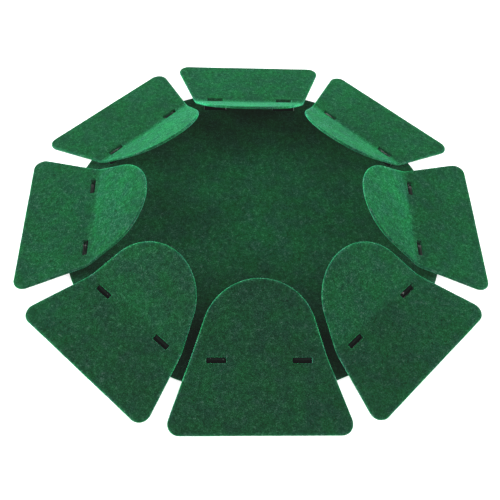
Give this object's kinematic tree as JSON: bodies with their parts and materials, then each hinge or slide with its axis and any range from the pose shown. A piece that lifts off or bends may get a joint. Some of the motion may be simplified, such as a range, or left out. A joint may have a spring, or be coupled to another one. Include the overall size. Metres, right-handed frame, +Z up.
{
  "type": "golf putting practice cup",
  "caption": "Low flocked steel disc ringed by see-saw flaps that lead a golf ball in from any side and trap it under raised tongues.",
  "frame": {"origin": "centre of the disc's underside, on the ground", "axes": "+Z up; -Y is the front of the pictured view; the flaps stand every 45 degrees, one of them at -Y"},
  "size_m": [0.2328, 0.2328, 0.0292],
  "materials": {
    "flock": "short dense dark-green flock with a velvet sheen, fine mottled grain, on every face and edge",
    "steel": "bare mild-steel sheet, dull, showing only on the lugs"
  },
  "bodies": {
    "base": {"base_plate": "steel", "base_flock": "flock", "lugs_front": "steel", "lugs_front_right": "steel", "lugs_right": "steel", "lugs_back_right": "steel", "lugs_back": "steel", "lugs_back_left": "steel", "lugs_left": "steel", "lugs_front_left": "steel"},
    "see_saw_front": {"flap_front": "steel", "flap_flock_front": "flock"},
    "see_saw_front_right": {"flap_front_right": "steel", "flap_flock_front_right": "flock"},
    "see_saw_right": {"flap_right": "steel", "flap_flock_right": "flock"},
    "see_saw_back_right": {"flap_back_right": "steel", "flap_flock_back_right": "flock"},
    "see_saw_back": {"flap_back": "steel", "flap_flock_back": "flock"},
    "see_saw_back_left": {"flap_back_left": "steel", "flap_flock_back_left": "flock"},
    "see_saw_left": {"flap_left": "steel", "flap_flock_left": "flock"},
    "see_saw_front_left": {"flap_front_left": "steel", "flap_flock_front_left": "flock"}
  },
  "joints": [
    {"name": "tilt_front", "type": "hinge", "parent": "base", "child": "see_saw_front", "pos_m": [0, -0.082, 0.0051], "axis": [-1, 0, 0], "range_deg": [0, 43]},
    {"name": "tilt_front_right", "type": "hinge", "parent": "base", "child": "see_saw_front_right", "pos_m": [0.05798, -0.05798, 0.0051], "axis": [-0.7071, -0.7071, 0], "range_deg": [0, 43]},
    {"name": "tilt_right", "type": "hinge", "parent": "base", "child": "see_saw_right", "pos_m": [0.082, 0, 0.0051], "axis": [0, -1, 0], "range_deg": [0, 43]},
    {"name": "tilt_back_right", "type": "hinge", "parent": "base", "child": "see_saw_back_right", "pos_m": [0.05798, 0.05798, 0.0051], "axis": [0.7071, -0.7071, 0], "range_deg": [0, 43]},
    {"name": "tilt_back", "type": "hinge", "parent": "base", "child": "see_saw_back", "pos_m": [0, 0.082, 0.0051], "axis": [1, 0, 0], "range_deg": [0, 43]},
    {"name": "tilt_back_left", "type": "hinge", "parent": "base", "child": "see_saw_back_left", "pos_m": [-0.05798, 0.05798, 0.0051], "axis": [0.7071, 0.7071, 0], "range_deg": [0, 43]},
    {"name": "tilt_left", "type": "hinge", "parent": "base", "child": "see_saw_left", "pos_m": [-0.082, 0, 0.0051], "axis": [0, 1, 0], "range_deg": [0, 43]},
    {"name": "tilt_front_left", "type": "hinge", "parent": "base", "child": "see_saw_front_left", "pos_m": [-0.05798, -0.05798, 0.0051], "axis": [-0.7071, 0.7071, 0], "range_deg": [0, 43]}
  ]
}
